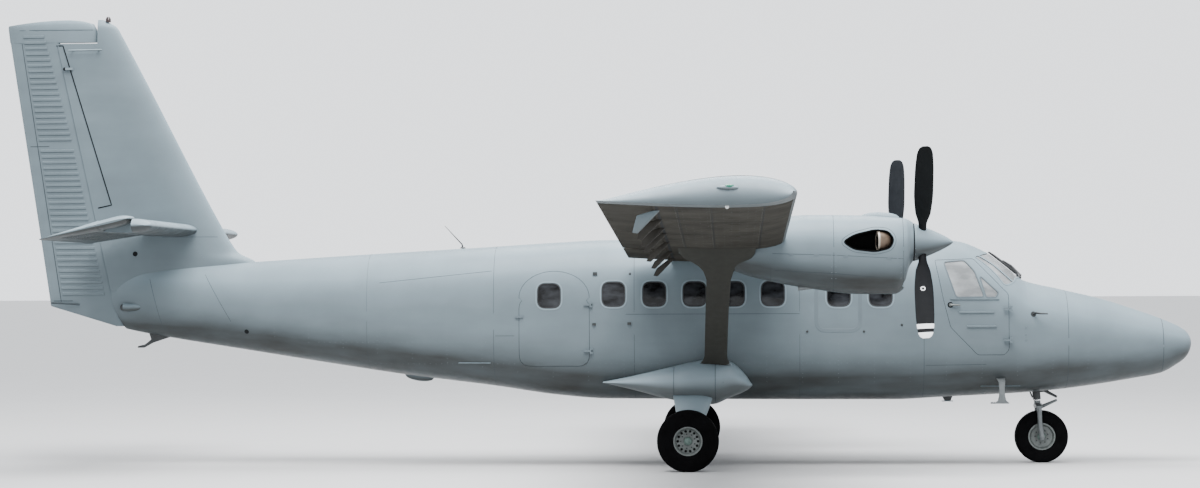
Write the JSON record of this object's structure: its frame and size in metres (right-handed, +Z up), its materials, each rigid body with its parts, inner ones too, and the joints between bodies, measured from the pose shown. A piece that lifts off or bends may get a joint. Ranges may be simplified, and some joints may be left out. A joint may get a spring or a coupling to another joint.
{
  "type": "turboprop airliner",
  "caption": "High-wing utility turboprop airliner with struts, fixed tricycle gear, cabin and cockpit doors, flaps, control surfaces, free propellers and a steered nose wheel.",
  "frame": {"origin": "on the ground, at the middle of the bounding box's base", "axes": "+X to the nose, +Y to the left wing tip, +Z up"},
  "size_m": [15.699, 19.81, 5.935],
  "materials": {
    "airframe_paint": "satin",
    "dark_blade": "matte",
    "tyre_rubber": "matte",
    "rim_paint": "satin",
    "gear_metal": "satin",
    "engine_metal": "matte",
    "window_glass": "polished",
    "seat_fabric": "matte",
    "panel_plastic": "matte",
    "floor_metal": "satin"
  },
  "bodies": {
    "airframe": {"belly": "airframe_paint", "cabin_floor": "floor_metal", "cabin_roof": "airframe_paint", "cabin_side_left": "airframe_paint", "cabin_side_right": "airframe_paint", "cockpit_floor": "floor_metal", "cockpit_shell": "airframe_paint", "control_column": "panel_plastic", "engine_left": "engine_metal", "engine_right": "engine_metal", "fin": "airframe_paint", "gear_fairing_left": "airframe_paint", "gear_fairing_right": "airframe_paint", "instrument_panel": "panel_plastic", "nacelle_left": "airframe_paint", "nacelle_right": "airframe_paint", "nose_body": "airframe_paint", "nose_strut": "gear_metal", "pilot_seat_left": "seat_fabric", "pilot_seat_right": "seat_fabric", "radome": "airframe_paint", "rear_fuselage": "airframe_paint", "tail_cone": "airframe_paint", "tailplane_left": "airframe_paint", "tailplane_right": "airframe_paint", "windscreen_left": "window_glass", "windscreen_right": "window_glass", "wing_left": "airframe_paint", "wing_right": "airframe_paint", "wing_strut_left": "airframe_paint", "wing_strut_right": "airframe_paint"},
    "cockpit_door_left": {"cockpit_door_left": "airframe_paint", "door_window_left": "window_glass"},
    "cabin_door_left": {"cabin_door_left": "airframe_paint"},
    "flap_left": {"flap_left": "airframe_paint"},
    "aileron_left": {"aileron_left": "airframe_paint"},
    "propeller_left": {"propeller_left": "dark_blade", "spinner_left": "airframe_paint"},
    "main_wheel_left": {"main_rim_left": "rim_paint", "main_tyre_left": "tyre_rubber"},
    "cockpit_door_right": {"cockpit_door_right": "airframe_paint", "door_window_right": "window_glass"},
    "cabin_door_right": {"cabin_door_right": "airframe_paint"},
    "flap_right": {"flap_right": "airframe_paint"},
    "aileron_right": {"aileron_right": "airframe_paint"},
    "propeller_right": {"propeller_right": "dark_blade", "spinner_right": "airframe_paint"},
    "main_wheel_right": {"main_rim_right": "rim_paint", "main_tyre_right": "tyre_rubber"},
    "elevator": {"elevator_left": "airframe_paint", "elevator_right": "airframe_paint"},
    "rudder": {"rudder": "airframe_paint"},
    "nose_steering": {"nose_fork": "gear_metal"},
    "nose_wheel": {"nose_rim": "rim_paint", "nose_tyre": "tyre_rubber"}
  },
  "joints": [
    {"name": "cockpit_door_left", "type": "hinge", "parent": "airframe", "child": "cockpit_door_left", "pos_m": [5.412, 0.82292, 1.8], "axis": [0, 0, -1], "range_deg": [0, 75]},
    {"name": "cabin_door_left", "type": "hinge", "parent": "airframe", "child": "cabin_door_left", "pos_m": [-0.008, 0.89031, 1.8], "axis": [0, 0, -1], "range_deg": [0, 95]},
    {"name": "cockpit_door_right", "type": "hinge", "parent": "airframe", "child": "cockpit_door_right", "pos_m": [5.412, -0.82292, 1.8], "axis": [0, 0, 1], "range_deg": [0, 75]},
    {"name": "cabin_door_right", "type": "hinge", "parent": "airframe", "child": "cabin_door_right", "pos_m": [-0.008, -0.89031, 1.8], "axis": [0, 0, 1], "range_deg": [0, 95]},
    {"name": "flap_left", "type": "hinge", "parent": "airframe", "child": "flap_left", "pos_m": [0.99367, 4.3, 2.93685], "axis": [0, -0.9986, -0.0523], "range_deg": [0, 37.5]},
    {"name": "flap_right", "type": "hinge", "parent": "airframe", "child": "flap_right", "pos_m": [0.99367, -4.3, 2.93685], "axis": [0, -0.9986, 0.0523], "range_deg": [0, 37.5]},
    {"name": "aileron_left", "type": "hinge", "parent": "airframe", "child": "aileron_left", "pos_m": [0.99367, 7.7, 3.11504], "axis": [0, -0.9986, -0.0523], "range_deg": [-17, 17]},
    {"name": "aileron_right", "type": "hinge", "parent": "airframe", "child": "aileron_right", "pos_m": [0.99367, -7.7, 3.11504], "axis": [0, -0.9986, 0.0523], "range_deg": [-17, 17]},
    {"name": "elevator", "type": "hinge", "parent": "airframe", "child": "elevator", "pos_m": [-5.97, 0, 3.11], "axis": [0, 1, 0], "range_deg": [0, 38]},
    {"name": "rudder", "type": "hinge", "parent": "airframe", "child": "rudder", "pos_m": [-6.79983, 0, 3.8], "axis": [-0.2117, 0, 0.9773], "range_deg": [-18, 18]},
    {"name": "propeller_left", "type": "hinge", "parent": "airframe", "child": "propeller_left", "pos_m": [4.15, 2.82, 2.86], "axis": [1, 0, 0], "continuous": true},
    {"name": "propeller_right", "type": "hinge", "parent": "airframe", "child": "propeller_right", "pos_m": [4.15, -2.82, 2.86], "axis": [1, 0, 0], "continuous": true},
    {"name": "main_wheel_left", "type": "hinge", "parent": "airframe", "child": "main_wheel_left", "pos_m": [1.265, 1.855, 0.385], "axis": [0, 1, 0], "continuous": true},
    {"name": "main_wheel_right", "type": "hinge", "parent": "airframe", "child": "main_wheel_right", "pos_m": [1.265, -1.855, 0.385], "axis": [0, 1, 0], "continuous": true},
    {"name": "nose_steering", "type": "hinge", "parent": "airframe", "child": "nose_steering", "pos_m": [5.885, 0, 0.34], "axis": [-0.1045, 0, 0.9945], "range_deg": [-60, 60]},
    {"name": "nose_wheel", "type": "hinge", "parent": "nose_steering", "child": "nose_wheel", "pos_m": [5.885, 0, 0.34], "axis": [0, 1, 0], "continuous": true}
  ],
  "couplings": [
    {"joint": "flap_right", "follows": "flap_left", "ratio": 1},
    {"joint": "aileron_right", "follows": "aileron_left", "ratio": -1}
  ]
}
